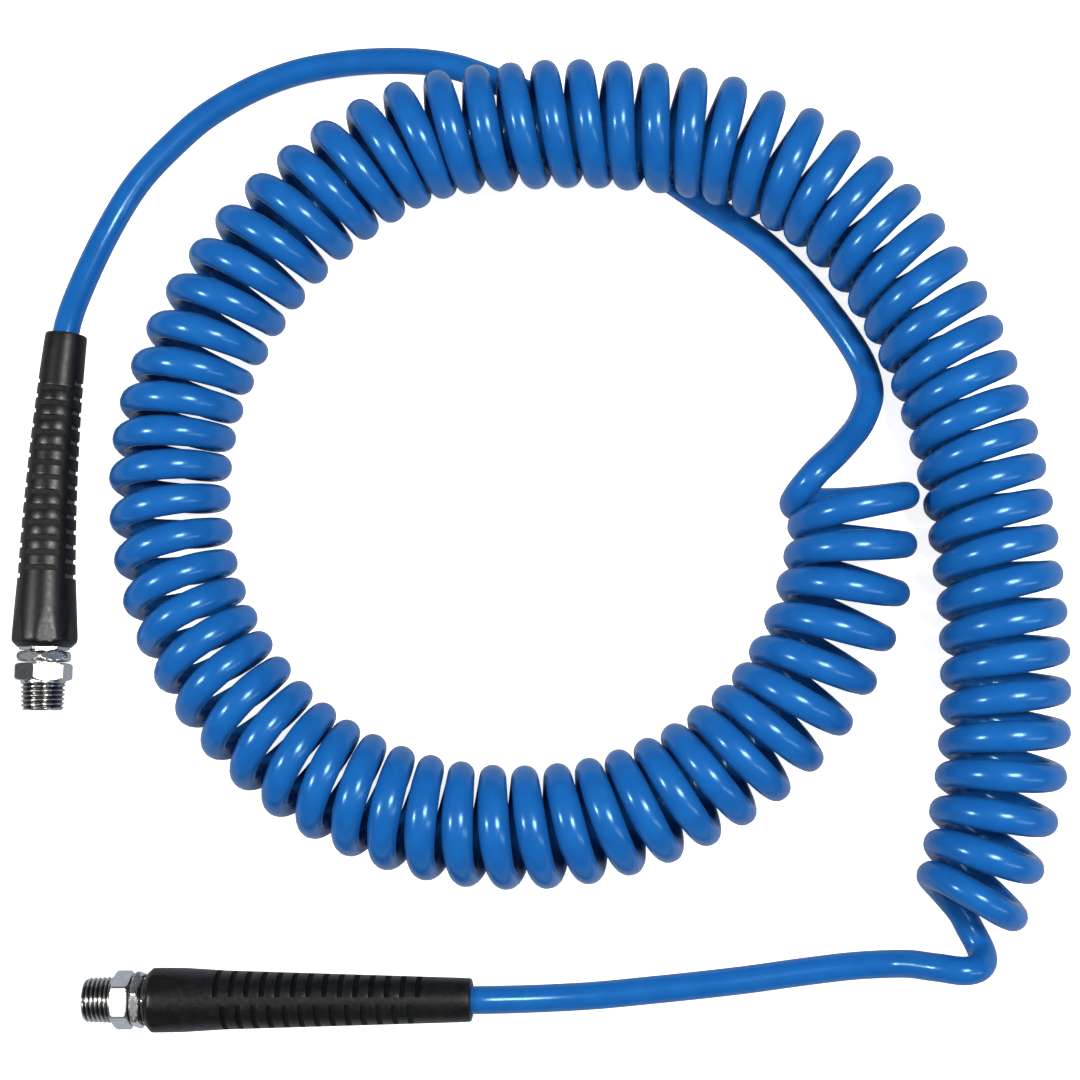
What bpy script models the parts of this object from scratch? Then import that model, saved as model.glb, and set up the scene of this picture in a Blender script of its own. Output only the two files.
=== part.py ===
"""Coiled air hose: an 8 x 5 mm polyurethane tube wound into a springy coil, lying in a ring.

Each end has a swivelling R 1/4 male fitting behind a rubber bend sleeve. The frame is
metres, +Z up, and the origin is on the table, under the middle of the hose. Every piece
of a fitting is made in the fitting's own frame: local +Z runs from the tip of the thread
into the hose, and an empty puts that frame on the table.
"""

import math

import bmesh
import bpy
from mathutils import Matrix, Vector

MM = 0.001

# The hose.
TUBE_RADIUS = 4.0 * MM
BARB_BORE_RADIUS = 3.1 * MM
TUBE_STEP = 9.0 * MM
TURNS_PER_POINT = 3
FIRST_TURN = -3
COIL_START = 0.6
COIL_END = 75.1
HUMP_TURN = 47.3
HUMP_REACH = 7.5
HUMP_HEIGHT = 8.8 * MM
TABLE_GAP = 0.1 * MM

# Centre line and outer radius of the coil, every three turns from turn -3. The first
# and the last point only steer the ends.
COIL_ROUTE = (
    (0.0965, 0.0475, 0.0184),
    (0.0960, 0.0135, 0.0186),
    (0.0920, -0.0205, 0.0188),
    (0.0770, -0.0520, 0.0184),
    (0.0530, -0.0730, 0.0180),
    (0.0245, -0.0850, 0.0178),
    (-0.0070, -0.0880, 0.0178),
    (-0.0375, -0.0825, 0.0178),
    (-0.0650, -0.0685, 0.0178),
    (-0.0875, -0.0450, 0.0177),
    (-0.1010, -0.0170, 0.0177),
    (-0.1045, 0.0155, 0.0178),
    (-0.0985, 0.0450, 0.0179),
    (-0.0825, 0.0745, 0.0181),
    (-0.0585, 0.0990, 0.0183),
    (-0.0305, 0.1140, 0.0184),
    (0.0000, 0.1160, 0.0184),
    (0.0295, 0.1150, 0.0184),
    (0.0595, 0.1110, 0.0184),
    (0.0880, 0.0975, 0.0183),
    (0.1090, 0.0745, 0.0182),
    (0.1230, 0.0470, 0.0181),
    (0.1310, 0.0190, 0.0181),
    (0.1355, -0.0100, 0.0181),
    (0.1375, -0.0410, 0.0182),
    (0.1355, -0.0735, 0.0182),
    (0.1270, -0.1070, 0.0170),
    (0.1160, -0.1395, 0.0160),
)

# Centre line of the straight hose from sleeve A to the top of the coil's first turn.
TAIL_A_ROUTE = (
    (-0.1354, 0.0757, 0.0068),
    (-0.1282, 0.0933, 0.0042),
    (-0.1194, 0.1077, 0.0040),
    (-0.1079, 0.1199, 0.0040),
    (-0.0979, 0.1282, 0.0040),
    (-0.0844, 0.1358, 0.0040),
    (-0.0710, 0.1406, 0.0040),
    (-0.0576, 0.1429, 0.0040),
    (-0.0455, 0.1436, 0.0040),
    (-0.0329, 0.1431, 0.0040),
    (-0.0221, 0.1412, 0.0040),
    (-0.0113, 0.1372, 0.0040),
    (0.0003, 0.1322, 0.0040),
    (0.0110, 0.1273, 0.0040),
    (0.0222, 0.1195, 0.0040),
    (0.0373, 0.1090, 0.0040),
    (0.0523, 0.0982, 0.0040),
    (0.0701, 0.0854, 0.0040),
    (0.0819, 0.0737, 0.0040),
    (0.0900, 0.0635, 0.0041),
    (0.0965, 0.0540, 0.0044),
    (0.1006, 0.0455, 0.0056),
    (0.1016, 0.0370, 0.0090),
    (0.0984, 0.0284, 0.0130),
    (0.0940, 0.0224, 0.0180),
    (0.0896, 0.0174, 0.0237),
    (0.0852, 0.0131, 0.0278),
)

# Centre line of the straight hose from the coil's last turn to sleeve B.
TAIL_B_ROUTE = (
    (0.1256, -0.1130, 0.0050),
    (0.1281, -0.1177, 0.0045),
    (0.1307, -0.1230, 0.0060),
    (0.1309, -0.1262, 0.0098),
    (0.1285, -0.1280, 0.0138),
    (0.1243, -0.1285, 0.0155),
    (0.1188, -0.1279, 0.0140),
    (0.1147, -0.1276, 0.0118),
    (0.1107, -0.1273, 0.0095),
    (0.1050, -0.1276, 0.0068),
    (0.0937, -0.1286, 0.0045),
    (0.0794, -0.1305, 0.0040),
    (0.0650, -0.1326, 0.0040),
    (0.0505, -0.1344, 0.0040),
    (0.0360, -0.1360, 0.0040),
    (0.0215, -0.1375, 0.0041),
    (0.0100, -0.1382, 0.0049),
    (-0.0010, -0.1385, 0.0068),
)

# The fittings: tip of the thread, heading of local +Z clockwise from +Y, bend of the
# sleeve, and how far each piece is rolled from straight up, all angles in degrees.
AXIS_HEIGHT = 9.7 * MM
FITTINGS = {
    "a": {
        "tip": (-0.1442, -0.0549, AXIS_HEIGHT),
        "heading": 0.5,
        "bend": 5.5,
        "nipple_roll": 28.0,
        "stem_roll": 40.0,
        "nut_roll": 19.0,
        "slot_roll": -41.0,
    },
    "b": {
        "tip": (-0.1290, -0.1395, AXIS_HEIGHT),
        "heading": 89.5,
        "bend": 0.0,
        "nipple_roll": -1.0,
        "stem_roll": 11.0,
        "nut_roll": 25.0,
        "slot_roll": -5.0,
    },
}
STEPS = 24
HEX_FLATS = 15.0 * MM
NUT_FLATS = 13.0 * MM
MOUTH_FLATS = 13.5 * MM
SLEEVE_FLATS = 18.4 * MM
SLEEVE_START = 18.8 * MM
SLEEVE_END = 113.7 * MM
MOUTH_DEPTH = 31.3 * MM
BEND_START = 36.5 * MM
TUBE_START = 21.8 * MM
SPIGOT_END = 36.3 * MM
SLEEVE_BORE = 4.3 * MM
TAPER_START = (8.46 * MM, 40.5 * MM)
TAPER_END = (6.25 * MM, 113.0 * MM)
TAPER_RINGS = 8
SLOT_WIDTH = 1.6 * MM
SLOT_PITCH = 4.51 * MM
SLOT_HALF_ANGLE = 37.0
LONG_ROW = (14, 40.0 * MM)
SHORT_ROW = (13, 42.25 * MM)

# Turned profiles as (radius, place along the axis) in millimetres. Each runs down the
# outer side from the hose end to the thread tip, then back up the bore.
NIPPLE = (
    (7.6, 14.1),
    (8.75, 13.45),
    (8.75, 9.6),
    (7.4, 8.85),
    (6.67, 8.85),
    (6.39, 0.9),
    (5.7, 0.0),
    (4.9, 0.0),
    (4.9, 3.3),
    (4.1, 3.3),
    (4.1, 13.0),
    (6.0, 13.0),
    (6.0, 14.1),
)
STEM = (
    (2.3, 36.0),
    (2.8, 33.8),
    (2.5, 33.8),
    (2.8, 31.4),
    (2.5, 31.4),
    (2.8, 29.0),
    (2.5, 29.0),
    (2.5, 21.5),
    (5.0, 21.5),
    (5.0, 17.5),
    (7.6, 17.5),
    (8.2, 17.1),
    (8.2, 14.9),
    (7.6, 14.5),
    (3.8, 14.5),
    (3.8, 11.4),
    (2.7, 11.4),
    (2.7, 9.6),
    (3.8, 9.6),
    (3.8, 3.3),
    (3.2, 3.3),
    (3.2, 2.1),
    (3.8, 2.1),
    (3.8, 1.5),
    (3.5, 1.2),
    (2.0, 1.2),
    (2.0, 36.0),
)
NUT = (
    (6.7, 31.0),
    (7.6, 30.4),
    (7.6, 18.3),
    (6.9, 17.8),
    (5.3, 17.8),
    (5.3, 26.3),
    (4.3, 27.2),
    (4.3, 31.0),
)
FERRULE = ((4.5, 26.0), (5.0, 24.8), (5.0, 22.3), (4.3, 22.3), (4.3, 26.0))
SLIDE_WASHER = ((5.7, 14.2), (5.7, 13.3), (4.2, 13.3), (4.2, 14.2))
SNAP_RING = ((4.6, 3.0), (4.6, 2.4), (3.5, 2.4), (3.5, 3.0))
O_RING_MAJOR = 3.4 * MM
O_RING_MINOR = 0.55 * MM
O_RING_PLACE = 10.5 * MM

# Linear base colour, metallic, roughness.
FINISHES = {
    "polyurethane": ((0.011, 0.122, 0.462), 0.0, 0.12),
    "nickel": ((0.62, 0.61, 0.59), 1.0, 0.22),
    "brass": ((0.72, 0.50, 0.22), 1.0, 0.30),
    "spring_steel": ((0.32, 0.32, 0.33), 1.0, 0.35),
    "sleeve_rubber": ((0.018, 0.018, 0.019), 0.0, 0.45),
    "seal_rubber": ((0.010, 0.010, 0.010), 0.0, 0.60),
    "slide_plastic": ((0.80, 0.79, 0.75), 0.0, 0.40),
}


def clear_scene():
    for obj in list(bpy.data.objects):
        bpy.data.objects.remove(obj)


def new_collection(name, hidden=False):
    collection = bpy.data.collections.new(name)
    bpy.context.scene.collection.children.link(collection)
    collection.hide_render = hidden
    return collection


def make_material(name):
    colour, metallic, roughness = FINISHES[name]
    material = bpy.data.materials.new(name)
    material.use_nodes = True
    shader = material.node_tree.nodes["Principled BSDF"]
    shader.inputs["Base Color"].default_value = (*colour, 1.0)
    shader.inputs["Metallic"].default_value = metallic
    shader.inputs["Roughness"].default_value = roughness
    return material


def make_object(name, mesh, material):
    obj = bpy.data.objects.new(name, mesh)
    parts.objects.link(obj)
    mesh.materials.clear()
    mesh.materials.append(materials[material])
    return obj


def as_cutter(obj):
    parts.objects.unlink(obj)
    cutters.objects.link(obj)
    obj.hide_render = True
    obj.display_type = "WIRE"
    return obj


def smooth_shading(mesh):
    mesh.shade_smooth()
    mesh.set_sharp_from_angle(angle=math.radians(35))


def smooth_point(points, place):
    """The point of a Catmull-Rom curve through the points, place counted in points."""
    first = max(0, min(int(math.floor(place)), len(points) - 2))
    u = place - first
    p1 = Vector(points[first])
    p2 = Vector(points[first + 1])
    p0 = Vector(points[first - 1]) if first > 0 else 2 * p1 - p2
    p3 = Vector(points[first + 2]) if first + 2 < len(points) else 2 * p2 - p1
    linear = p2 - p0
    square = 2 * p0 - 5 * p1 + 4 * p2 - p3
    cube = 3 * p1 - 3 * p2 + p3 - p0
    return 0.5 * (2 * p1 + u * linear + u * u * square + u * u * u * cube)


def even_points(points, step):
    """Points about one step apart along the smooth curve through the given points."""
    fine = [smooth_point(points, i / 20) for i in range(20 * (len(points) - 1) + 1)]
    travelled = [0.0]
    for start, end in zip(fine, fine[1:]):
        travelled.append(travelled[-1] + (end - start).length)
    count = round(travelled[-1] / step)
    even = []
    index = 0
    for i in range(count + 1):
        goal = travelled[-1] * i / count
        while index < len(fine) - 2 and travelled[index + 1] < goal:
            index += 1
        span = travelled[index + 1] - travelled[index]
        even.append(fine[index].lerp(fine[index + 1], (goal - travelled[index]) / span))
    return even


def hump(turn):
    """How far the coil is lifted where it lies over the straight hose."""
    away = abs(turn - HUMP_TURN) / HUMP_REACH
    return HUMP_HEIGHT * math.cos(math.pi / 2 * min(away, 1.0)) ** 2


def coil_centre(turn):
    """(centre, outer radius) of the coil at this turn."""
    x, y, radius = smooth_point(COIL_ROUTE, (turn - FIRST_TURN) / TURNS_PER_POINT)
    return Vector((x, y, radius + TABLE_GAP + hump(turn))), radius


def tube_curve(name, points, radii, bevel_radius, material):
    """A closed round tube along the points, as a curve object."""
    curve = bpy.data.curves.new(name, "CURVE")
    curve.dimensions = "3D"
    curve.bevel_depth = bevel_radius
    curve.bevel_resolution = 4
    curve.use_fill_caps = True
    spline = curve.splines.new("POLY")
    spline.points.add(len(points) - 1)
    for target, point, radius in zip(spline.points, points, radii):
        target.co = (*point, 1.0)
        target.radius = radius / bevel_radius
    obj = bpy.data.objects.new(name, curve)
    parts.objects.link(obj)
    curve.materials.append(materials[material])
    return obj


def as_mesh(curve_object):
    """The same piece as a mesh with its caps welded, which a Boolean can cut."""
    bpy.context.view_layer.update()
    graph = bpy.context.evaluated_depsgraph_get()
    mesh = bpy.data.meshes.new_from_object(curve_object.evaluated_get(graph))
    body = bmesh.new()
    body.from_mesh(mesh)
    bmesh.ops.remove_doubles(body, verts=body.verts, dist=1e-6)
    body.to_mesh(mesh)
    body.free()
    name = curve_object.name
    material = curve_object.data.materials[0].name
    world = curve_object.matrix_world.copy()
    bpy.data.objects.remove(curve_object)
    obj = make_object(name, mesh, material)
    obj.matrix_world = world
    return obj


def turned(name, profile, material, steps=STEPS):
    """A profile in millimetres, turned about local Z."""
    mesh = bpy.data.meshes.new(name)
    vertices = [(radius * MM, 0.0, place * MM) for radius, place in profile]
    count = len(profile)
    mesh.from_pydata(vertices, [(i, (i + 1) % count) for i in range(count)], [])
    obj = make_object(name, mesh, material)
    screw = obj.modifiers.new("turn", "SCREW")
    screw.steps = steps
    screw.render_steps = steps
    screw.use_merge_vertices = True
    screw.merge_threshold = 0.00001
    screw.use_smooth_shade = False
    return obj


def hex_prism(name, flats, start, end, roll):
    """A six-sided cutter along local Z, with one flat facing the roll angle."""
    body = bmesh.new()
    radius = flats / 2 / math.cos(math.pi / 6)
    place = Matrix.Translation((0.0, 0.0, (start + end) / 2))
    turn = Matrix.Rotation(roll_angle(roll) + math.pi / 6, 4, "Z")
    bmesh.ops.create_cone(
        body,
        cap_ends=True,
        segments=6,
        radius1=radius,
        radius2=radius,
        depth=end - start,
        matrix=place @ turn,
    )
    mesh = bpy.data.meshes.new(name)
    body.to_mesh(mesh)
    body.free()
    return as_cutter(make_object(name, mesh, "nickel"))


def roll_angle(roll):
    """Angle about local Z of a side that is rolled this many degrees from straight up."""
    return math.radians(roll - 90.0)


def add_boolean(obj, cutter, operation):
    modifier = obj.modifiers.new(cutter.name, "BOOLEAN")
    modifier.operation = operation
    modifier.object = cutter


def taper_profile():
    """The sleeve's outline, with rings down its taper so that it can bend."""
    outer = [(6.0, SLEEVE_END / MM)]
    bore = []
    for i in range(TAPER_RINGS + 1):
        u = i / TAPER_RINGS
        radius = TAPER_END[0] * (1 - u) + TAPER_START[0] * u
        place = TAPER_END[1] * (1 - u) + TAPER_START[1] * u
        outer.append((radius / MM, place / MM))
        bore.append((SLEEVE_BORE / MM, place / MM))
    outer += [(9.65, 21.4), (9.3, 20.2), (8.0, SLEEVE_START / MM)]
    bore = [(SLEEVE_BORE / MM, SLEEVE_END / MM)] + bore
    bore.append((SLEEVE_BORE / MM, SLEEVE_START / MM))
    return outer + bore[::-1]


def sleeve_radius(place):
    """Outer radius of the slotted taper at this place along the axis."""
    u = (place - TAPER_START[1]) / (TAPER_END[1] - TAPER_START[1])
    return TAPER_START[0] * (1 - u) + TAPER_END[0] * u


def slot_cutter(name, slot_roll):
    """Every slot of a sleeve: four rows around, neighbours half a pitch apart."""
    body = bmesh.new()
    for row in range(4):
        count, first = SHORT_ROW if row % 2 == 0 else LONG_ROW
        side = Matrix.Rotation(roll_angle(slot_roll + 45.0 + 90.0 * row), 4, "Z")
        for i in range(count):
            place = first + i * SLOT_PITCH
            floor = sleeve_radius(place) * math.cos(math.radians(SLOT_HALF_ANGLE))
            height = 6.0 * MM
            size = Matrix.Diagonal((height, 20.0 * MM, SLOT_WIDTH, 1.0))
            centre = Matrix.Translation((floor + height / 2, 0.0, place))
            bmesh.ops.create_cube(body, size=1.0, matrix=side @ centre @ size)
    mesh = bpy.data.meshes.new(name)
    body.to_mesh(mesh)
    body.free()
    return as_cutter(make_object(name, mesh, "sleeve_rubber"))


def bent(point, bend):
    """A point of a fitting's frame after the sleeve's bend towards local +X."""
    past = point.z - BEND_START
    if bend == 0.0 or past <= 0.0:
        return point.copy()
    curvature = math.radians(bend) / (SLEEVE_END - BEND_START)
    angle = curvature * past
    arm = point.x - 1 / curvature
    x = 1 / curvature + arm * math.cos(angle)
    return Vector((x, point.y, BEND_START - arm * math.sin(angle)))


def bend_mesh(obj, bend):
    """Fixes the modifiers into the mesh and bends it."""
    bpy.context.view_layer.update()
    graph = bpy.context.evaluated_depsgraph_get()
    mesh = bpy.data.meshes.new_from_object(obj.evaluated_get(graph))
    obj.modifiers.clear()
    obj.data = mesh
    for vertex in mesh.vertices:
        vertex.co = bent(vertex.co, bend)


def fitting_frame(end):
    """The empty that puts a fitting's frame on the table."""
    spec = FITTINGS[end]
    frame = bpy.data.objects.new("fitting_" + end, None)
    parts.objects.link(frame)
    frame.location = spec["tip"]
    frame.rotation_euler = (-math.pi / 2, 0.0, -math.radians(spec["heading"]))
    return frame


def make_nipple(end, spec):
    nipple = turned("swivel_nipple_" + end, NIPPLE, "nickel")
    sides = hex_prism("nipple_hex_" + end, HEX_FLATS, -MM, 15 * MM, spec["nipple_roll"])
    add_boolean(nipple, sides, "INTERSECT")
    return [nipple, sides]


def make_stem(end, spec):
    stem = turned("hose_stem_" + end, STEM, "nickel")
    sides = hex_prism("stem_hex_" + end, HEX_FLATS, 0.0, 37 * MM, spec["stem_roll"])
    add_boolean(stem, sides, "INTERSECT")
    return [stem, sides]


def make_nut(end, spec):
    nut = turned("union_nut_" + end, NUT, "nickel")
    sides = hex_prism("nut_hex_" + end, NUT_FLATS, 17 * MM, 32 * MM, spec["nut_roll"])
    add_boolean(nut, sides, "INTERSECT")
    return [nut, sides]


def make_snap_ring(end):
    ring = turned("snap_ring_" + end, SNAP_RING, "spring_steel")
    body = bmesh.new()
    centre = Matrix.Translation((4.0 * MM, 0.0, 2.7 * MM))
    bmesh.ops.create_cube(body, size=2.0 * MM, matrix=centre)
    mesh = bpy.data.meshes.new("snap_gap_" + end)
    body.to_mesh(mesh)
    body.free()
    gap = as_cutter(make_object("snap_gap_" + end, mesh, "spring_steel"))
    add_boolean(ring, gap, "DIFFERENCE")
    return [ring, gap]


def make_o_ring(end):
    bpy.ops.mesh.primitive_torus_add(
        major_radius=O_RING_MAJOR,
        minor_radius=O_RING_MINOR,
        major_segments=24,
        minor_segments=8,
        location=(0.0, 0.0, O_RING_PLACE),
    )
    ring = bpy.context.active_object
    ring.name = "o_ring_" + end
    for collection in list(ring.users_collection):
        collection.objects.unlink(ring)
    parts.objects.link(ring)
    ring.data.materials.append(materials["seal_rubber"])
    return [ring]


def make_sleeve(end, spec):
    sleeve = turned("bend_sleeve_" + end, taper_profile(), "sleeve_rubber", 24)
    far = SLEEVE_END + MM
    grip = hex_prism("grip_hex_" + end, SLEEVE_FLATS, 18 * MM, far, spec["nut_roll"])
    mouth = hex_prism("mouth_" + end, MOUTH_FLATS, 18 * MM, MOUTH_DEPTH, spec["nut_roll"])
    slots = slot_cutter("slots_" + end, spec["slot_roll"])
    add_boolean(sleeve, grip, "INTERSECT")
    add_boolean(sleeve, mouth, "DIFFERENCE")
    add_boolean(sleeve, slots, "DIFFERENCE")
    bend_mesh(sleeve, spec["bend"])
    for cutter in (grip, mouth, slots):
        bpy.data.objects.remove(cutter)
    return [sleeve]


def make_fitting(end):
    """Every piece of one end, in its frame. Returns the frame's matrix."""
    spec = FITTINGS[end]
    frame = fitting_frame(end)
    pieces = make_nipple(end, spec) + make_stem(end, spec) + make_nut(end, spec)
    pieces += make_snap_ring(end) + make_o_ring(end) + make_sleeve(end, spec)
    pieces.append(turned("clamp_ferrule_" + end, FERRULE, "brass"))
    pieces.append(turned("slide_washer_" + end, SLIDE_WASHER, "slide_plastic"))
    for piece in pieces:
        piece.parent = frame
    bpy.context.view_layer.update()
    return frame.matrix_world.copy()


def sleeve_axis(world, bend):
    """The hose's centre line inside a fitting, from the clamp to just past the sleeve."""
    places = [TUBE_START, 30 * MM, 38 * MM]
    steps = 7
    for i in range(1, steps + 1):
        places.append(38 * MM + (SLEEVE_END + 3 * MM - 38 * MM) * i / steps)
    return [world @ bent(Vector((0.0, 0.0, place)), bend) for place in places]


def make_tail(end, route, world):
    """One straight end of the hose, with the hole that the stem's barbs fill."""
    name = "hose_tail_" + end
    points = even_points(route, TUBE_STEP)
    radii = [TUBE_RADIUS] * len(points)
    tail = as_mesh(tube_curve(name, points, radii, TUBE_RADIUS, "polyurethane"))
    body = bmesh.new()
    start = TUBE_START - MM
    bmesh.ops.create_cone(
        body,
        cap_ends=True,
        segments=STEPS,
        radius1=BARB_BORE_RADIUS,
        radius2=BARB_BORE_RADIUS,
        depth=SPIGOT_END - start,
        matrix=world @ Matrix.Translation((0.0, 0.0, (SPIGOT_END + start) / 2)),
    )
    mesh = bpy.data.meshes.new("barb_bore_" + end)
    body.to_mesh(mesh)
    body.free()
    bore = as_cutter(make_object("barb_bore_" + end, mesh, "polyurethane"))
    add_boolean(tail, bore, "DIFFERENCE")


def make_coil():
    """The wound length of hose, as one fat tube of the coil's outer diameter."""
    count = round(COIL_END - COIL_START)
    turns = [COIL_START + (COIL_END - COIL_START) * i / count for i in range(count + 1)]
    points = [coil_centre(turn)[0] for turn in turns]
    radii = [coil_centre(turn)[1] for turn in turns]
    tube_curve("hose_coil", points, radii, max(radii), "polyurethane")


clear_scene()
parts = new_collection("coiled_air_hose")
cutters = new_collection("cutters", hidden=True)
materials = {name: make_material(name) for name in FINISHES}

frame_a = make_fitting("a")
frame_b = make_fitting("b")
inside_a = sleeve_axis(frame_a, FITTINGS["a"]["bend"])
inside_b = sleeve_axis(frame_b, FITTINGS["b"]["bend"])
route_a = inside_a + [Vector(point) for point in TAIL_A_ROUTE]
route_b = [Vector(point) for point in TAIL_B_ROUTE]
make_coil()
make_tail("a", route_a, frame_a)
make_tail("b", inside_b + route_b[::-1], frame_b)
for obj in parts.objects:
    if obj.type == "MESH":
        smooth_shading(obj.data)
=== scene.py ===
"""A coiled blue air hose on a white table, seen from almost straight above."""

import math

import bmesh
import bpy
from mathutils import Matrix, Vector


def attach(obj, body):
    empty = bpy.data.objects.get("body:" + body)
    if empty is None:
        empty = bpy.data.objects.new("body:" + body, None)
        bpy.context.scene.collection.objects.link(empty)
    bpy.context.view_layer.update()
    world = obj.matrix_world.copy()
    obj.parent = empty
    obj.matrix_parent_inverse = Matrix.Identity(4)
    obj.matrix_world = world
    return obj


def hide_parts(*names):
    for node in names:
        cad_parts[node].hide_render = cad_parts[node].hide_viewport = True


MM = 0.001

# Camera over the table.
SENSOR_WIDTH = 36.0
CAMERA_AT = (0.0454, -0.0621, 0.5957)
CAMERA_AIM = (0.0037, -0.0040, 0.0)
LENS = 66.67

# Floor glow, straight to the camera and onto the object, and how bright its paint is in
# reflections.
FLOOR_GLOW_SEEN = 0.85
FLOOR_GLOW_ON_OBJECT = 0.12
FLOOR_IN_REFLECTIONS = (0.24, 0.27, 0.31)
FLOOR_DROP = 0.2 * MM
FLOOR_HALF_SIZE = 2.0

# Lamps: name, place, side, height as a share of the side, power, seen in reflections.
LAMPS = (
    ("left_lamp", (-0.73, -0.07, 0.80), 0.12, 1.0, 7.5, True),
    ("right_lamp", (0.42, 0.04, 1.0), 0.28, 0.7, 12.0, True),
    ("side_strip", (0.95, -0.40, 0.72), 0.75, 0.2, 2.4, True),
    ("overhead", (0.0, 0.1, 1.6), 1.6, 1.0, 6.0, False),
)
# One more lights the fittings only, and gives their flats something to reflect.
METAL_CARD = ("metal_card", (-0.45, -0.32, 1.2), 0.8, 1.0, 3.0, True)
METAL_CARD_AIM = (-0.13, -0.1, 0.0)

# The hose, as in the CAD model. Where it is wound, its section is an ellipse: thin
# across the coil, and wider on top and underneath than at the sides.
TUBE_RADIUS = 4.0 * MM
COIL_HALF_THICK = 3.6 * MM
COIL_HALF_WIDE = 4.45 * MM
COIL_SIDE_HALF_WIDE = 3.85 * MM
RING_VERTICES = 24

# Turns are counted from the coil's start, next to straight end A.
COIL_FIRST = 0.38
COIL_LAST = 75.2
SAMPLES_PER_TURN = 36
TAIL_STEP = 1.5 * MM
TABLE_GAP = 0.1 * MM
TOP_OFFSET = 1.1 * MM

# The coil is lifted where straight end A passes under it.
HUMP_TURN = 47.3
HUMP_REACH = 7.5
HUMP_HEIGHT = 8.8 * MM
HUMP_NARROWING = 0.45 * MM

# Centre line and outer radius of the coil, every three turns from turn -3. The first
# and the last point only steer the ends.
FIRST_TURN = -3
TURNS_PER_POINT = 3
COIL_ROUTE = (
    (0.0965, 0.0475, 0.0184),
    (0.0960, 0.0135, 0.0186),
    (0.0920, -0.0205, 0.0188),
    (0.0770, -0.0520, 0.0184),
    (0.0530, -0.0730, 0.0180),
    (0.0245, -0.0850, 0.0178),
    (-0.0070, -0.0880, 0.0178),
    (-0.0375, -0.0825, 0.0178),
    (-0.0650, -0.0685, 0.0178),
    (-0.0875, -0.0450, 0.0177),
    (-0.1010, -0.0170, 0.0177),
    (-0.1045, 0.0155, 0.0178),
    (-0.0985, 0.0450, 0.0179),
    (-0.0825, 0.0745, 0.0181),
    (-0.0585, 0.0990, 0.0183),
    (-0.0305, 0.1140, 0.0184),
    (0.0000, 0.1160, 0.0184),
    (0.0295, 0.1150, 0.0184),
    (0.0595, 0.1110, 0.0184),
    (0.0880, 0.0975, 0.0183),
    (0.1090, 0.0745, 0.0182),
    (0.1230, 0.0470, 0.0181),
    (0.1310, 0.0190, 0.0181),
    (0.1355, -0.0100, 0.0181),
    (0.1375, -0.0410, 0.0182),
    (0.1355, -0.0735, 0.0182),
    (0.1270, -0.1070, 0.0170),
    (0.1160, -0.1395, 0.0160),
)

# How far a turn is twisted about the vertical, in degrees, from turn to turn. Plus
# brings its outer side forward.
COIL_TWIST = (
    (0.0, -27.0),
    (0.5, -13.0),
    (1.0, -8.5),
    (2.0, -2.5),
    (3.0, 0.0),
    (30.0, 0.0),
    (33.0, -2.2),
    (38.0, -1.0),
    (41.0, 0.0),
    (43.0, -3.8),
    (47.0, -3.8),
    (48.5, 2.0),
    (50.0, 4.0),
    (54.0, 4.0),
    (57.0, -1.6),
    (69.0, -1.6),
    (71.0, 0.0),
    (73.0, 4.0),
    (74.0, 11.5),
    (75.0, 22.0),
    (76.0, 27.0),
)

# Centre line of the straight hose from sleeve A to the top of the coil's first turn.
TAIL_A_ROUTE = (
    (-0.1354, 0.0757, 0.0068),
    (-0.1282, 0.0933, 0.0042),
    (-0.1194, 0.1077, 0.0040),
    (-0.1079, 0.1199, 0.0040),
    (-0.0979, 0.1282, 0.0040),
    (-0.0844, 0.1358, 0.0040),
    (-0.0710, 0.1406, 0.0040),
    (-0.0576, 0.1429, 0.0040),
    (-0.0455, 0.1436, 0.0040),
    (-0.0329, 0.1431, 0.0040),
    (-0.0221, 0.1412, 0.0040),
    (-0.0113, 0.1372, 0.0040),
    (0.0003, 0.1322, 0.0040),
    (0.0110, 0.1273, 0.0040),
    (0.0222, 0.1195, 0.0040),
    (0.0373, 0.1090, 0.0040),
    (0.0523, 0.0982, 0.0040),
    (0.0701, 0.0854, 0.0040),
    (0.0819, 0.0737, 0.0040),
    (0.0900, 0.0635, 0.0041),
    (0.0965, 0.0540, 0.0044),
    (0.1006, 0.0455, 0.0056),
    (0.1016, 0.0370, 0.0090),
    (0.0984, 0.0284, 0.0130),
    (0.0940, 0.0224, 0.0180),
    (0.0896, 0.0174, 0.0237),
    (0.0852, 0.0131, 0.0278),
)

# Where the hose turns down into the first turn and out of the last one, between the
# straight ends and the wound part.
COIL_ENTRY = (
    (0.0816, 0.0090, 0.0272),
    (0.0790, 0.0058, 0.0232),
    (0.0783, 0.0042, 0.0175),
    (0.0801, 0.0040, 0.0120),
)
COIL_EXIT = (
    (0.1158, -0.1020, 0.0158),
    (0.1178, -0.1042, 0.0112),
    (0.1215, -0.1081, 0.0070),
)

# Centre line of the straight hose from the coil's last turn to sleeve B.
TAIL_B_ROUTE = (
    (0.1256, -0.1130, 0.0050),
    (0.1281, -0.1177, 0.0045),
    (0.1307, -0.1230, 0.0060),
    (0.1309, -0.1262, 0.0098),
    (0.1285, -0.1280, 0.0138),
    (0.1243, -0.1285, 0.0155),
    (0.1188, -0.1279, 0.0140),
    (0.1147, -0.1276, 0.0118),
    (0.1107, -0.1273, 0.0095),
    (0.1050, -0.1276, 0.0068),
    (0.0937, -0.1286, 0.0045),
    (0.0794, -0.1305, 0.0040),
    (0.0650, -0.1326, 0.0040),
    (0.0505, -0.1344, 0.0040),
    (0.0360, -0.1360, 0.0040),
    (0.0215, -0.1375, 0.0041),
    (0.0100, -0.1382, 0.0049),
    (-0.0010, -0.1385, 0.0068),
)

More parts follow.
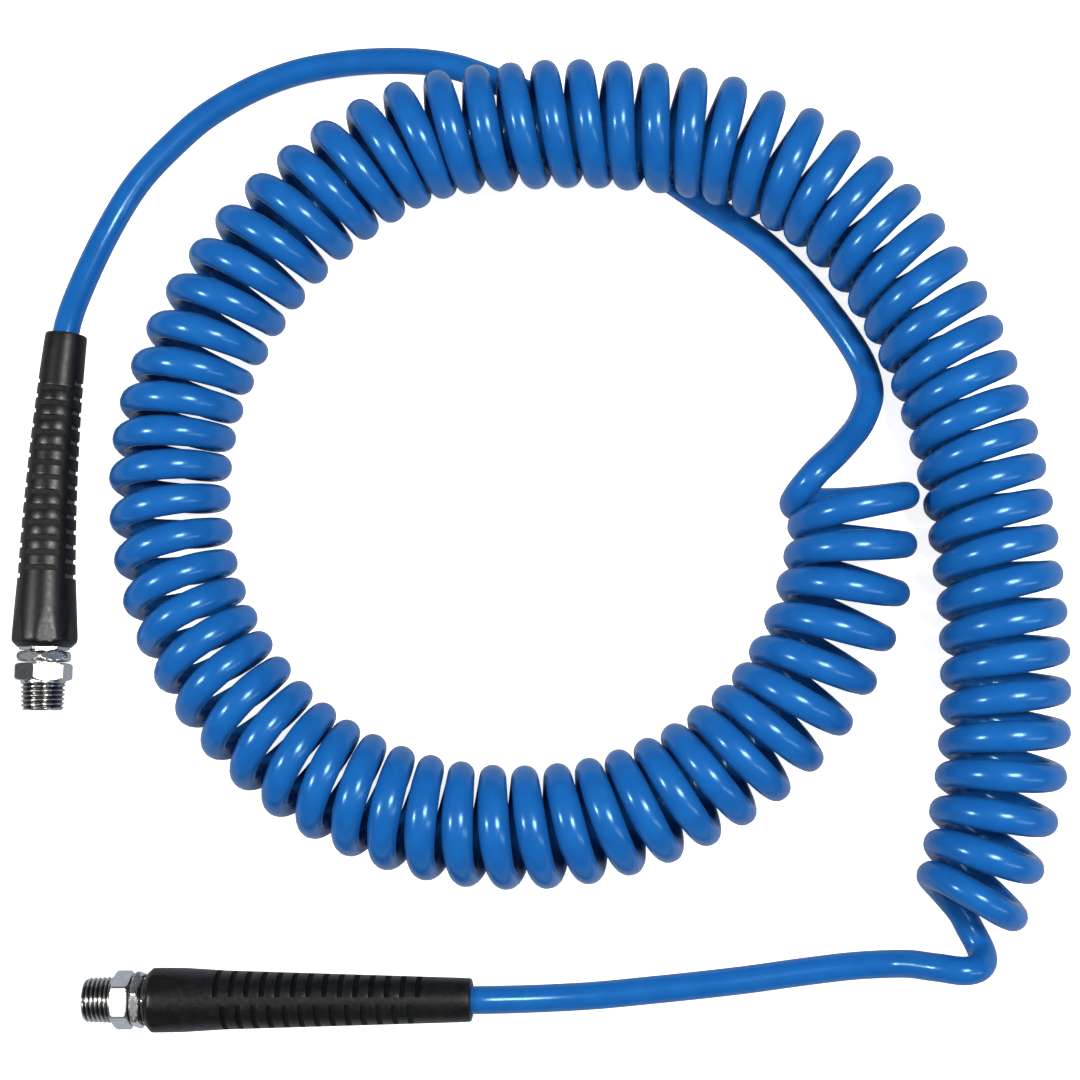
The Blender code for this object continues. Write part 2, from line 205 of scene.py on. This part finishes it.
# The fittings, as in the CAD model: local +Z runs from the thread's tip into the hose.
AXIS_HEIGHT = 9.7 * MM
FITTINGS = {
    "a": {
        "tip": (-0.1442, -0.0549, AXIS_HEIGHT),
        "heading": 0.5,
        "bend": 5.5,
        "nipple_roll": 28.0,
        "stem_roll": 40.0,
        "nut_roll": 19.0,
        "slot_roll": -41.0,
    },
    "b": {
        "tip": (-0.1290, -0.1395, AXIS_HEIGHT),
        "heading": 89.5,
        "bend": 0.0,
        "nipple_roll": -1.0,
        "stem_roll": 11.0,
        "nut_roll": 25.0,
        "slot_roll": -5.0,
    },
}
HEX_FLATS = 15.0 * MM
NUT_FLATS = 13.0 * MM
MOUTH_FLATS = 13.5 * MM
SLEEVE_FLATS = 18.4 * MM
SLEEVE_END = 113.7 * MM
BEND_START = 36.5 * MM
TUBE_START = 21.8 * MM
TAPER_START = (8.46 * MM, 40.5 * MM)
TAPER_END = (6.25 * MM, 113.0 * MM)
SLOT_WIDTH = 1.6 * MM
SLOT_PITCH = 4.51 * MM
SLOT_HALF_ANGLE = 37.0
LONG_ROW = (14, 40.0 * MM)
SHORT_ROW = (13, 42.25 * MM)
THREAD_PITCH = 1.337 * MM
THREAD_DEPTH = 0.85 * MM
THREAD_START = 0.35 * MM
THREAD_END = 8.3 * MM
THREAD_FADE = 0.7 * MM
THREAD_NECK = 8.8 * MM
THREAD_RINGS = 150
TIP_RADIUS = 6.39 * MM
TIP_CHAMFER_RADIUS = 5.75 * MM
TIP_CHAMFER_SLOPE = 0.85
TAPER_PER_RADIUS = 32
ROOT_RADIUS = 5.2 * MM
# Painted shade: the thread's colour darkens towards this at the bottom of its grooves.
GROOVE_SHADE_COLOUR = (0.10, 0.095, 0.09)
METAL_STEPS = 144
SOFT_STEPS = 96
SHARP_EDGE = 32

# Turned profiles, as (radius, place along the axis) in millimetres.
BIG_HEXAGON = (
    (7.35, 14.05),
    (7.5, 14.0),
    (7.9, 13.88),
    (8.3, 13.68),
    (8.7, 13.42),
    (8.9, 13.2),
    (8.9, 11.4),
    (8.9, 9.75),
    (8.7, 9.55),
    (8.3, 9.25),
    (7.9, 9.02),
    (7.5, 8.9),
    (7.3, 8.87),
)
NIPPLE_BACK = ((4.1, 13.0), (6.0, 13.0), (6.0, 14.05))
NIPPLE_BORE = ((4.9, 0.0), (4.9, 3.3), (4.1, 3.3))
STEM = (
    (2.3, 36.0),
    (2.8, 33.8),
    (2.5, 33.8),
    (2.8, 31.4),
    (2.5, 31.4),
    (2.8, 29.0),
    (2.5, 29.0),
    (2.5, 21.5),
    (4.8, 21.5),
    (5.0, 21.3),
    (5.0, 17.5),
    (7.1, 17.5),
    (7.5, 17.38),
    (7.9, 17.12),
    (8.3, 16.78),
    (8.6, 16.45),
    (8.6, 16.0),
    (8.6, 15.55),
    (8.3, 15.22),
    (7.9, 14.88),
    (7.5, 14.62),
    (7.1, 14.5),
    (3.8, 14.5),
    (3.8, 11.4),
    (2.7, 11.4),
    (2.7, 9.6),
    (3.8, 9.6),
    (3.8, 3.3),
    (3.2, 3.3),
    (3.2, 2.1),
    (3.8, 2.1),
    (3.8, 1.5),
    (3.5, 1.2),
    (2.0, 1.2),
    (2.0, 36.0),
)
UNION_NUT = (
    (6.6, 31.0),
    (7.0, 30.8),
    (7.6, 30.4),
    (7.6, 18.3),
    (7.2, 18.0),
    (6.8, 17.85),
    (6.4, 17.8),
    (5.3, 17.8),
    (5.3, 26.3),
    (4.3, 27.2),
    (4.3, 31.0),
)
SLEEVE_THIN_END = ((5.4, 113.7), (5.9, 113.55), (6.18, 113.2))
SLEEVE_SHOULDER = (
    (9.65, 21.4),
    (9.6, 20.8),
    (9.35, 20.2),
    (8.9, 19.7),
    (8.4, 19.2),
    (8.0, 18.8),
)
SLEEVE_MOUTH = ((7.3, 18.8), (6.9, 19.2), (6.75, 20.0), (6.75, 31.3), (4.3, 31.3))
SLEEVE_BORE_END = ((4.3, 113.2), (4.6, 113.7))


# ---------------------------------------------------------------- curves and frames


def smooth_point(points, place):
    """The point of a Catmull-Rom curve through the points, place counted in points."""
    first = max(0, min(int(math.floor(place)), len(points) - 2))
    u = place - first
    p1 = Vector(points[first])
    p2 = Vector(points[first + 1])
    p0 = Vector(points[first - 1]) if first > 0 else 2 * p1 - p2
    p3 = Vector(points[first + 2]) if first + 2 < len(points) else 2 * p2 - p1
    linear = p2 - p0
    square = 2 * p0 - 5 * p1 + 4 * p2 - p3
    cube = 3 * p1 - 3 * p2 + p3 - p0
    return 0.5 * (2 * p1 + u * linear + u * u * square + u * u * u * cube)


def even_points(points, step, first, last):
    """Points about one step apart along the smooth curve, from one point to another."""
    count = 20 * (last - first)
    fine = [smooth_point(points, first + i / 20) for i in range(count + 1)]
    travelled = [0.0]
    for start, end in zip(fine, fine[1:]):
        travelled.append(travelled[-1] + (end - start).length)
    count = round(travelled[-1] / step)
    even = []
    index = 0
    for i in range(count + 1):
        goal = travelled[-1] * i / count
        while index < len(fine) - 2 and travelled[index + 1] < goal:
            index += 1
        span = travelled[index + 1] - travelled[index]
        even.append(fine[index].lerp(fine[index + 1], (goal - travelled[index]) / span))
    return even


def hump(turn):
    """How far the coil is lifted where it lies over the straight hose."""
    away = abs(turn - HUMP_TURN) / HUMP_REACH
    return HUMP_HEIGHT * math.cos(math.pi / 2 * min(away, 1.0)) ** 2


def coil_centre(turn):
    """(centre, outer radius) of the coil at this turn."""
    x, y, radius = smooth_point(COIL_ROUTE, (turn - FIRST_TURN) / TURNS_PER_POINT)
    return Vector((x, y, radius + TABLE_GAP + hump(turn))), radius


def twist(turn):
    """The angle that this turn is twisted by about the vertical, in radians."""
    if turn <= COIL_TWIST[0][0]:
        return math.radians(COIL_TWIST[0][1])
    for (start, low), (end, high) in zip(COIL_TWIST, COIL_TWIST[1:]):
        if turn <= end:
            u = (turn - start) / (end - start)
            return math.radians(low + (high - low) * u * u * (3 - 2 * u))
    return math.radians(COIL_TWIST[-1][1])


def turn_point(turn):
    """(point, direction out of the coil) of the wound hose, on top on whole turns."""
    centre, radius = coil_centre(turn)
    ahead = coil_centre(turn + 0.01)[0] - coil_centre(turn - 0.01)[0]
    ahead.z = 0.0
    ahead.normalize()
    outward = Vector((-ahead.y, ahead.x, 0.0))
    outward = math.cos(twist(turn)) * outward + math.sin(twist(turn)) * ahead
    angle = 2 * math.pi * turn
    across = -math.sin(angle) * outward + math.cos(angle) * Vector((0.0, 0.0, 1.0))
    point = centre + (radius - COIL_HALF_THICK) * across
    point.y -= TOP_OFFSET * (1 - math.cos(angle)) / 2
    return point, across


def fitting_matrix(end):
    """From a fitting's own frame to the part's, by its heading and its tip."""
    spec = FITTINGS[end]
    turn = Matrix.Rotation(-math.radians(spec["heading"]), 4, "Z")
    lie = Matrix.Rotation(-math.pi / 2, 4, "X")
    return Matrix.Translation(spec["tip"]) @ turn @ lie


def bent(point, bend):
    """A point of a fitting's frame after the sleeve's bend towards local +X."""
    past = point.z - BEND_START
    if bend == 0.0 or past <= 0.0:
        return point.copy()
    curvature = math.radians(bend) / (SLEEVE_END - BEND_START)
    angle = curvature * past
    arm = point.x - 1 / curvature
    x = 1 / curvature + arm * math.cos(angle)
    return Vector((x, point.y, BEND_START - arm * math.sin(angle)))


def sleeve_axis(end):
    """The hose's centre line in a fitting, from the clamp to just past the sleeve."""
    clear_of_nut = 38 * MM
    past_sleeve = SLEEVE_END + 3 * MM
    places = [TUBE_START, 30 * MM, clear_of_nut]
    steps = 7
    for i in range(1, steps + 1):
        places.append(clear_of_nut + (past_sleeve - clear_of_nut) * i / steps)
    matrix = fitting_matrix(end)
    bend = FITTINGS[end]["bend"]
    return [matrix @ bent(Vector((0.0, 0.0, place)), bend) for place in places]


# ---------------------------------------------------------------- materials


def shader_of(material):
    return material.node_tree.nodes["Principled BSDF"]


def new_material(name, colour, metallic, roughness):
    material = bpy.data.materials.new(name)
    material.use_nodes = True
    shader = shader_of(material)
    shader.inputs["Base Color"].default_value = (*colour, 1.0)
    shader.inputs["Metallic"].default_value = metallic
    shader.inputs["Roughness"].default_value = roughness
    return material


def noise(material, scale, detail=3.0):
    """A noise texture's Factor output, on object coordinates."""
    tree = material.node_tree
    coordinates = tree.nodes.new("ShaderNodeTexCoord")
    texture = tree.nodes.new("ShaderNodeTexNoise")
    texture.inputs["Scale"].default_value = scale
    texture.inputs["Detail"].default_value = detail
    tree.links.new(coordinates.outputs["Object"], texture.inputs["Vector"])
    return texture.outputs["Fac"]


def colour_between(material, factor, dark, light):
    tree = material.node_tree
    ramp = tree.nodes.new("ShaderNodeValToRGB")
    ramp.color_ramp.elements[0].position = 0.35
    ramp.color_ramp.elements[0].color = (*dark, 1.0)
    ramp.color_ramp.elements[1].position = 0.65
    ramp.color_ramp.elements[1].color = (*light, 1.0)
    tree.links.new(factor, ramp.inputs["Fac"])
    tree.links.new(ramp.outputs["Color"], shader_of(material).inputs["Base Color"])


def roughness_between(material, factor, low, high):
    tree = material.node_tree
    span = tree.nodes.new("ShaderNodeMapRange")
    span.inputs["From Min"].default_value = 0.3
    span.inputs["From Max"].default_value = 0.7
    span.inputs["To Min"].default_value = low
    span.inputs["To Max"].default_value = high
    tree.links.new(factor, span.inputs["Value"])
    tree.links.new(span.outputs["Result"], shader_of(material).inputs["Roughness"])


def bump(material, factor, distance):
    tree = material.node_tree
    node = tree.nodes.new("ShaderNodeBump")
    node.inputs["Distance"].default_value = distance
    node.inputs["Strength"].default_value = 1.0
    tree.links.new(factor, node.inputs["Height"])
    tree.links.new(node.outputs["Normal"], shader_of(material).inputs["Normal"])


def blend_colour(material, factor, colour):
    """Mixes the colour that the shader already takes towards one more, by a factor."""
    tree = material.node_tree
    colour_input = shader_of(material).inputs["Base Color"]
    before = colour_input.links[0].from_socket
    mixed = tree.nodes.new("ShaderNodeMix")
    mixed.data_type = "RGBA"
    mixed.inputs["B"].default_value = (*colour, 1.0)
    tree.links.new(factor, mixed.inputs["Factor"])
    tree.links.new(before, mixed.inputs["A"])
    tree.links.new(mixed.outputs["Result"], colour_input)


def hose_material():
    material = new_material("polyurethane", (0.0065, 0.087, 0.305), 0.0, 0.16)
    cloud = noise(material, 160.0)
    colour_between(material, cloud, (0.006, 0.081, 0.291), (0.007, 0.093, 0.319))
    roughness_between(material, noise(material, 900.0), 0.19, 0.25)
    bump(material, noise(material, 240.0, detail=1.0), 0.00004)
    shader = shader_of(material)
    shader.inputs["IOR"].default_value = 1.45
    shader.inputs["Specular Tint"].default_value = (0.5, 0.9, 1.0, 1.0)
    return material


def paint_groove_shade(material):
    """Paints shade into the colour towards the bottom of a thread, by the mesh's groove
    values.
    """
    groove = material.node_tree.nodes.new("ShaderNodeAttribute")
    groove.attribute_name = "groove"
    blend_colour(material, groove.outputs["Fac"], GROOVE_SHADE_COLOUR)


def nickel_material(name):
    material = new_material(name, (0.62, 0.61, 0.59), 1.0, 0.2)
    cloud = noise(material, 700.0)
    colour_between(material, cloud, (0.60, 0.59, 0.57), (0.70, 0.69, 0.67))
    roughness_between(material, noise(material, 1500.0), 0.18, 0.23)
    bump(material, noise(material, 2600.0), 0.0000003)
    return material


def rubber_material():
    material = new_material("sleeve_rubber", (0.004, 0.004, 0.004), 0.0, 0.38)
    cloud = noise(material, 350.0)
    colour_between(material, cloud, (0.003, 0.003, 0.003), (0.006, 0.006, 0.006))
    roughness_between(material, noise(material, 800.0), 0.32, 0.44)
    shader_of(material).inputs["Specular IOR Level"].default_value = 0.35
    bump(material, noise(material, 2200.0), 0.00003)
    return material


def plain_material(name, dark, light, metallic, rough_low, rough_high, grain):
    material = new_material(name, dark, metallic, rough_high)
    colour_between(material, noise(material, 600.0), dark, light)
    roughness_between(material, noise(material, 1100.0), rough_low, rough_high)
    bump(material, noise(material, 2400.0), grain)
    return material


def floor_material():
    """White card that glows a little, so that shadows on it stay faint."""
    material = new_material("white_card", (0.8, 0.8, 0.8), 0.0, 0.9)
    shader = shader_of(material)
    shader.inputs["Specular IOR Level"].default_value = 0.0
    shader.inputs["Emission Color"].default_value = (1.0, 1.0, 1.0, 1.0)
    tree = material.node_tree
    rays = tree.nodes.new("ShaderNodeLightPath")
    glow = tree.nodes.new("ShaderNodeMapRange")
    glow.inputs["To Min"].default_value = FLOOR_GLOW_ON_OBJECT
    glow.inputs["To Max"].default_value = FLOOR_GLOW_SEEN
    tree.links.new(rays.outputs["Is Camera Ray"], glow.inputs["Value"])
    tree.links.new(glow.outputs["Result"], shader.inputs["Emission Strength"])
    colour_between(
        material, noise(material, 6.0), (0.79, 0.79, 0.79), (0.81, 0.81, 0.81)
    )
    blend_colour(material, rays.outputs["Is Glossy Ray"], FLOOR_IN_REFLECTIONS)
    return material


# ---------------------------------------------------------------- mesh helpers


def link(obj):
    bpy.context.scene.collection.objects.link(obj)
    return obj


def mesh_object(name, body, material):
    mesh = bpy.data.meshes.new(name)
    body.to_mesh(mesh)
    body.free()
    mesh.materials.append(material)
    return link(bpy.data.objects.new(name, mesh))


def baked(obj, matrix, bend=0.0):
    """Fixes the modifiers and the place into the mesh, bending it on the way."""
    bpy.context.view_layer.update()
    graph = bpy.context.evaluated_depsgraph_get()
    mesh = bpy.data.meshes.new_from_object(obj.evaluated_get(graph))
    obj.modifiers.clear()
    obj.data = mesh
    for vertex in mesh.vertices:
        vertex.co = matrix @ bent(vertex.co, bend)
    mesh.shade_smooth()
    mesh.set_sharp_from_angle(angle=math.radians(SHARP_EDGE))
    return obj


def in_metres(profile):
    return [(radius * MM, place * MM) for radius, place in profile]


def lathe(profile, steps, radius_at, grooved_to=0.0):
    """A closed ring of turned skin about Z, from a profile of (radius, place) points.

    radius_at gives the radius in each direction. Up to the place grooved_to, the mesh
    keeps how deep it lies under the profile, for the painted shade in the grooves.
    """
    body = bmesh.new()
    groove = body.verts.layers.float.new("groove")
    rings = []
    for step in range(steps):
        angle = 2 * math.pi * step / steps
        ring = []
        for radius, place in profile:
            r = radius_at(radius, place, angle)
            vertex = body.verts.new((r * math.cos(angle), r * math.sin(angle), place))
            if place < grooved_to:
                vertex[groove] = min(1.0, (radius - r) / THREAD_DEPTH)
            ring.append(vertex)
        rings.append(ring)
    count = len(profile)
    for step in range(steps):
        here = rings[step]
        after = rings[(step + 1) % steps]
        for i in range(count):
            j = (i + 1) % count
            body.faces.new((here[i], after[i], after[j], here[j]))
    bmesh.ops.recalc_face_normals(body, faces=body.faces)
    return body


def hex_radius(angle, flats, roll):
    """Distance from the axis to the side of a hexagon, in this direction."""
    sixth = math.pi / 3
    away = (angle - math.radians(roll - 90.0)) % sixth
    away = min(away, sixth - away)
    return flats / 2 / math.cos(away)


def add_cut(obj, cutter):
    modifier = obj.modifiers.new(cutter.name, "BOOLEAN")
    modifier.operation = "DIFFERENCE"
    modifier.object = cutter


def add_bevel(obj, width, segments, angle):
    modifier = obj.modifiers.new("edges", "BEVEL")
    modifier.width = width
    modifier.segments = segments
    modifier.limit_method = "ANGLE"
    modifier.angle_limit = math.radians(angle)
    modifier.use_clamp_overlap = True


# ---------------------------------------------------------------- the hose


def hose_path():
    """The hose's centre line, as (point, direction out of the coil, how wound it is,
    how much narrower it is) at each place.
    """
    up = Vector((0.0, 0.0, 1.0))
    start = sleeve_axis("a") + [Vector(point) for point in TAIL_A_ROUTE + COIL_ENTRY]
    start += [turn_point(COIL_FIRST)[0], turn_point(COIL_FIRST + 0.1)[0]]
    end = [turn_point(COIL_LAST - 0.1)[0], turn_point(COIL_LAST)[0]]
    end += [Vector(point) for point in COIL_EXIT + TAIL_B_ROUTE]
    end += sleeve_axis("b")[::-1]
    tail_a = even_points(start, TAIL_STEP, 0, len(start) - 2)[:-1]
    tail_b = even_points(end, TAIL_STEP, 1, len(end) - 1)[1:]
    path = [(point, up, 0.0, 0.0) for point in tail_a]
    count = round((COIL_LAST - COIL_FIRST) * SAMPLES_PER_TURN)
    for i in range(count + 1):
        turn = COIL_FIRST + (COIL_LAST - COIL_FIRST) * i / count
        ease = min(1.0, i / SAMPLES_PER_TURN, (count - i) / SAMPLES_PER_TURN)
        wound = ease * ease * (3 - 2 * ease)
        narrower = HUMP_NARROWING * hump(turn) / HUMP_HEIGHT
        path.append((*turn_point(turn), wound, narrower))
    path += [(point, up, 0.0, 0.0) for point in tail_b]
    return path


def make_hose(material):
    """(object, points, length) of one closed tube, a little flat where it is wound."""
    path = hose_path()
    points = [place[0] for place in path]
    body = bmesh.new()
    side = None
    rings = []
    travelled = 0.0
    for i, (point, outward, wound, narrower) in enumerate(path):
        before = points[max(i - 1, 0)]
        after = points[min(i + 1, len(points) - 1)]
        tangent = (after - before).normalized()
        if side is None:
            side = tangent.orthogonal()
        side = (side - side.dot(tangent) * tangent).normalized()
        other = tangent.cross(side)
        thick = TUBE_RADIUS + (COIL_HALF_THICK - TUBE_RADIUS) * wound
        upright = outward.z ** 2
        wide = COIL_SIDE_HALF_WIDE + (COIL_HALF_WIDE - COIL_SIDE_HALF_WIDE) * upright
        wide -= narrower * upright
        wide = TUBE_RADIUS + (wide - TUBE_RADIUS) * wound
        ring = []
        for k in range(RING_VERTICES):
            angle = 2 * math.pi * k / RING_VERTICES
            way = math.cos(angle) * side + math.sin(angle) * other
            out = way.dot(outward)
            along = math.sqrt(max(0.0, 1.0 - out * out))
            radius = thick * wide / math.hypot(wide * out, thick * along)
            ring.append(body.verts.new(point + radius * way))
        rings.append(ring)
        travelled += (point - before).length
    for i in range(len(rings) - 1):
        for k in range(RING_VERTICES):
            m = (k + 1) % RING_VERTICES
            corners = (rings[i][k], rings[i][m], rings[i + 1][m], rings[i + 1][k])
            body.faces.new(corners).smooth = True
    body.faces.new(rings[0][::-1])
    body.faces.new(rings[-1])
    hose = mesh_object("hose", body, material)
    return hose, points, travelled


# ---------------------------------------------------------------- the fittings


def thread_radius(radius, place, angle):
    """Crest radius less the thread's groove: sixty-degree grooves on a helix."""
    if place < THREAD_START or place > THREAD_END:
        fade = 0.0
    else:
        fade = min(1.0, (THREAD_END - place) / THREAD_FADE)
    phase = (place / THREAD_PITCH - angle / (2 * math.pi)) % 1.0
    saw = abs(2.0 * phase - 1.0)
    groove = min(1.0, max(0.0, (saw - 0.10) / 0.78))
    return radius - THREAD_DEPTH * groove * fade


def nipple_piece(end, material):
    """Male thread and big hexagon, one turned and milled part."""
    roll = FITTINGS[end]["nipple_roll"]
    profile = in_metres(NIPPLE_BACK + BIG_HEXAGON)
    for i in range(THREAD_RINGS + 1):
        place = THREAD_NECK * (1 - i / THREAD_RINGS)
        chamfer = TIP_CHAMFER_RADIUS + place * TIP_CHAMFER_SLOPE
        profile.append((min(TIP_RADIUS + place / TAPER_PER_RADIUS, chamfer), place))
    profile += in_metres(NIPPLE_BORE)

    def shape(radius, place, angle):
        if place > THREAD_NECK + 0.05 * MM:
            return min(radius, hex_radius(angle, HEX_FLATS, roll))
        if radius > 5.0 * MM:
            return max(ROOT_RADIUS, thread_radius(radius, place, angle))
        return radius

    body = lathe(profile, METAL_STEPS, shape, THREAD_NECK)
    return baked(mesh_object("nipple_" + end, body, material), fitting_matrix(end))


def milled(profile, steps, flats, roll, round_up_to):
    """A turned profile with a hexagon milled wherever it is wider than a radius."""

    def shape(radius, place, angle):
        if radius > round_up_to:
            return min(radius, hex_radius(angle, flats, roll))
        return radius

    return lathe(in_metres(profile), steps, shape)


def stem_piece(end, material):
    """Thin hexagon, journal and barbed spigot."""
    roll = FITTINGS[end]["stem_roll"]
    body = milled(STEM, METAL_STEPS, HEX_FLATS, roll, 7.0 * MM)
    return baked(mesh_object("stem_" + end, body, material), fitting_matrix(end))


def nut_piece(end, material):
    """The union nut, mostly inside the sleeve."""
    roll = FITTINGS[end]["nut_roll"]
    body = milled(UNION_NUT, SOFT_STEPS, NUT_FLATS, roll, 6.0 * MM)
    return baked(mesh_object("nut_" + end, body, material), fitting_matrix(end))


def sleeve_radius(place):
    """Outer radius of the slotted taper at this place along the axis."""
    u = (place - TAPER_START[1]) / (TAPER_END[1] - TAPER_START[1])
    return TAPER_START[0] * (1 - u) + TAPER_END[0] * u


def sleeve_profile():
    """The sleeve's outline, from its thin end down the outside and back up the bore."""
    outline = list(SLEEVE_THIN_END)
    steps = 34
    for i in range(steps + 1):
        place = 112.4 - (112.4 - 41.2) * i / steps
        outline.append((sleeve_radius(place * MM) / MM, place))
    outline += [(8.52 + 0.125 * i, 40.2 - 2.0 * i) for i in range(10)]
    outline += SLEEVE_SHOULDER + SLEEVE_MOUTH
    outline += [(4.3, 38.0 + 5.8 * i) for i in range(13)]
    outline += SLEEVE_BORE_END
    return in_metres(outline)


def slot_cutter(end, material):
    """Every slot of a sleeve: four rows around, neighbours half a pitch apart."""
    body = bmesh.new()
    depth = 6.0 * MM
    size = Matrix.Diagonal((depth, 20.0 * MM, SLOT_WIDTH, 1.0))
    for row in range(4):
        count, first = SHORT_ROW if row % 2 == 0 else LONG_ROW
        turn = math.radians(FITTINGS[end]["slot_roll"] + 45.0 + 90.0 * row - 90.0)
        side = Matrix.Rotation(turn, 4, "Z")
        for i in range(count):
            place = first + i * SLOT_PITCH
            floor = sleeve_radius(place) * math.cos(math.radians(SLOT_HALF_ANGLE))
            centre = Matrix.Translation((floor + depth / 2, 0.0, place))
            bmesh.ops.create_cube(body, size=1.0, matrix=side @ centre @ size)
    return mesh_object("slots_" + end, body, material)


def sleeve_piece(end, material):
    """Moulded rubber sleeve: hexagonal grip, slotted taper and rounded thin end."""
    spec = FITTINGS[end]

    def shape(radius, place, angle):
        if radius > 7.9 * MM and place < 41 * MM:
            return min(radius, hex_radius(angle, SLEEVE_FLATS, spec["nut_roll"]))
        if 6.0 * MM < radius < 7.5 * MM and place < 32 * MM:
            mouth = hex_radius(angle, MOUTH_FLATS, spec["nut_roll"])
            return min(mouth + radius - MOUTH_FLATS / 2, 7.95 * MM)
        return radius

    body = lathe(sleeve_profile(), SOFT_STEPS, shape)
    sleeve = mesh_object("sleeve_" + end, body, material)
    cutter = slot_cutter(end, material)
    add_cut(sleeve, cutter)
    add_bevel(sleeve, 0.28 * MM, 2, 50)
    baked(sleeve, fitting_matrix(end), spec["bend"])
    bpy.data.objects.remove(cutter)
    return sleeve


# ---------------------------------------------------------------- the studio


def look_from(obj, place, aim):
    """Places an object with its -Z towards the aim and its +Y near the world's."""
    forward = (Vector(aim) - Vector(place)).normalized()
    right = forward.cross(Vector((0.0, 1.0, 0.0))).normalized()
    up = right.cross(forward)
    rotation = Matrix((right, up, -forward)).transposed().to_4x4()
    obj.matrix_world = Matrix.Translation(place) @ rotation


def make_camera():
    data = bpy.data.cameras.new("camera")
    data.lens = LENS
    data.sensor_width = SENSOR_WIDTH
    data.clip_start = 0.01
    data.clip_end = 20.0
    camera = link(bpy.data.objects.new("camera", data))
    look_from(camera, CAMERA_AT, CAMERA_AIM)
    bpy.context.scene.camera = camera


def area_light(aim, name, place, side, ratio, power, in_reflections):
    data = bpy.data.lights.new(name, "AREA")
    data.shape = "RECTANGLE"
    data.size = side
    data.size_y = side * ratio
    data.energy = power
    light = link(bpy.data.objects.new(name, data))
    look_from(light, place, aim)
    light.visible_glossy = in_reflections
    return light


def make_studio(metal_pieces):
    """Lamps, a dim sky and the white table. The metal card lights the metal alone."""
    scene = bpy.context.scene
    scene.view_settings.view_transform = "Standard"
    world = bpy.data.worlds.new("studio")
    scene.world = world
    world.use_nodes = True
    background = world.node_tree.nodes["Background"]
    background.inputs["Color"].default_value = (0.80, 0.88, 1.0, 1.0)
    background.inputs["Strength"].default_value = 0.08
    body = bmesh.new()
    bmesh.ops.create_grid(body, x_segments=8, y_segments=8, size=FLOOR_HALF_SIZE)
    floor = mesh_object("table", body, floor_material())
    floor.location.z = -FLOOR_DROP
    for lamp in LAMPS:
        area_light((0.0, 0.0, 0.0), *lamp)
    card = area_light(METAL_CARD_AIM, *METAL_CARD)
    metal = bpy.data.collections.new("metal_pieces")
    for piece in metal_pieces:
        metal.objects.link(piece)
    card.light_linking.receiver_collection = metal


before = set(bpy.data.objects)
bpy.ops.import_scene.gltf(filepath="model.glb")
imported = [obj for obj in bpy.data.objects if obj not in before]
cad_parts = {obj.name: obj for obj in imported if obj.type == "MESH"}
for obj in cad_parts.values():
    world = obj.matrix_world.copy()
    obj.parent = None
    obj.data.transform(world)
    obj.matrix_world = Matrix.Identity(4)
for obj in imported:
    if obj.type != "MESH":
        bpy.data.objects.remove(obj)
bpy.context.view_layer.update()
make_camera()

blue = hose_material()
nickel = nickel_material("nickel")
threaded = nickel_material("threaded_nickel")
# Painted shade: the threaded nickel darkens towards the bottom of its grooves.
paint_groove_shade(threaded)
rubber = rubber_material()
brass = plain_material(
    "plain_brass", (0.62, 0.42, 0.17), (0.74, 0.52, 0.24), 1.0, 0.22, 0.34, 0.00001
)
steel = plain_material(
    "spring_steel", (0.28, 0.28, 0.29), (0.36, 0.36, 0.37), 1.0, 0.28, 0.4, 0.00001
)
seal = plain_material(
    "seal_rubber", (0.008, 0.008, 0.008), (0.013, 0.013, 0.013), 0.0, 0.5, 0.65, 0.00002
)
slide = plain_material(
    "slide_plastic", (0.74, 0.73, 0.69), (0.82, 0.81, 0.77), 0.0, 0.35, 0.45, 0.00001
)

hose, path, hose_length = make_hose(blue)
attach(hose, "hose")
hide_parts("hose_coil", "hose_tail_a", "hose_tail_b")

metal_pieces = []
plated = "nickel_plated_brass"
for end in ("a", "b"):
    made = (
        (nipple_piece, threaded, "swivel_" + end, "swivel_nipple_", plated),
        (stem_piece, nickel, "hose", "hose_stem_", plated),
        (nut_piece, nickel, "hose", "union_nut_", plated),
        (sleeve_piece, rubber, "hose", "bend_sleeve_", "sleeve_rubber"),
    )
    for make_piece, material, body_name, node, slot in made:
        piece = make_piece(end, material)
        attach(piece, body_name)
        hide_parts(node + end)
        if slot == plated:
            metal_pieces.append(piece)
    # The small parts inside the fittings stay as the CAD model has them.
    kept = (
        ("clamp_ferrule_", brass),
        ("snap_ring_", steel),
        ("o_ring_", seal),
        ("slide_washer_", slide),
    )
    for node, material in kept:
        obj = bpy.data.objects[node + end]
        for slot_at in obj.material_slots:
            slot_at.material = material

make_studio(metal_pieces)
